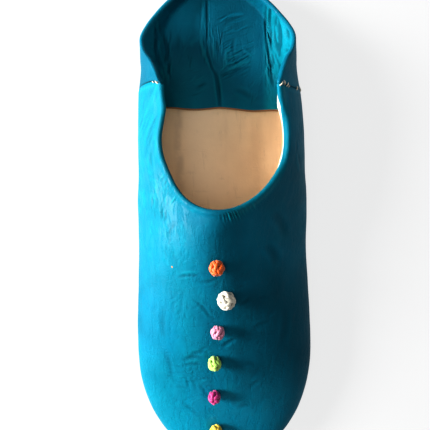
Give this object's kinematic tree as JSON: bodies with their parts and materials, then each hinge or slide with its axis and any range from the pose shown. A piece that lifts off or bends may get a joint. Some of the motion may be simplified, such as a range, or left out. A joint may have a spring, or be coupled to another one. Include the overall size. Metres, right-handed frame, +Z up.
{
  "type": "babouche slipper",
  "caption": "Soft leather slipper with a flat sole, a hollow upper with a ridge and a row of thread balls, and a trodden-down heel that lies folded on the insole.",
  "frame": {"origin": "middle of the slipper's outline, on the plane that its sole stands on", "axes": "+Z up, +Y from the toe to the heel along the length, +X to the left side of a wearer who looks along -Y"},
  "size_m": [0.0914, 0.246, 0.0571],
  "materials": {
    "sole_leather": "matte",
    "tan_leather": "satin",
    "teal_leather": "satin",
    "orange_thread": "silk thread",
    "white_thread": "silk thread",
    "pink_thread": "silk thread",
    "green_thread": "silk thread",
    "magenta_thread": "silk thread",
    "yellow_thread": "silk thread"
  },
  "bodies": {
    "root": {"outsole": "sole_leather", "insole": "tan_leather", "upper": "teal_leather", "heel_quarter": "teal_leather", "pompom_orange": "orange_thread", "pompom_white": "white_thread", "pompom_pink": "pink_thread", "pompom_green": "green_thread", "pompom_magenta": "magenta_thread", "pompom_yellow": "yellow_thread"}
  },
  "joints": []
}
